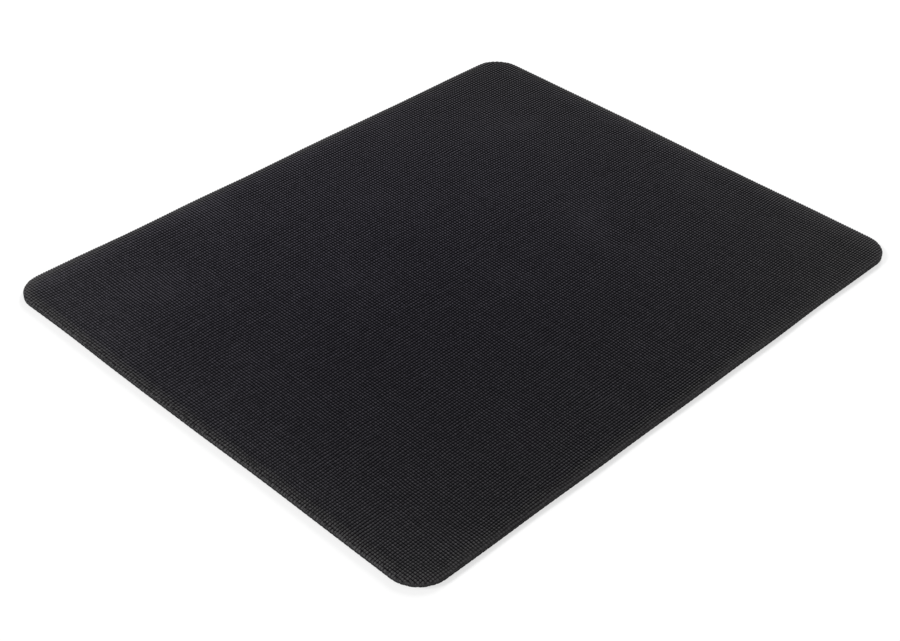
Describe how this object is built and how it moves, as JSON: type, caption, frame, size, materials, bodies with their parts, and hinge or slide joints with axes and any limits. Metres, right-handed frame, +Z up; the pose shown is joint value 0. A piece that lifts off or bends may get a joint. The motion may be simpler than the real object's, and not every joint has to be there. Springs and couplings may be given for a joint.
{
  "type": "mouse pad",
  "caption": "Flat rectangular mouse pad with rounded corners: a black woven cloth face bonded to a thin foam rubber base, its die-cut edge rolled softly down.",
  "frame": {"origin": "on the desk, under the middle of the pad", "axes": "+X along the pad's long side, +Y along its short side, +Z up through the cloth face"},
  "size_m": [0.26, 0.21, 0.002],
  "materials": {
    "woven_cloth": "matt black polyester weave",
    "hot_melt_film": "satin, shows only as a line at the cut",
    "foam_rubber": "matt black fine-celled foam with a moulded non-slip underside"
  },
  "bodies": {
    "root": {"cloth_face": "woven_cloth", "bond_film": "hot_melt_film", "foam_base": "foam_rubber"}
  },
  "joints": []
}
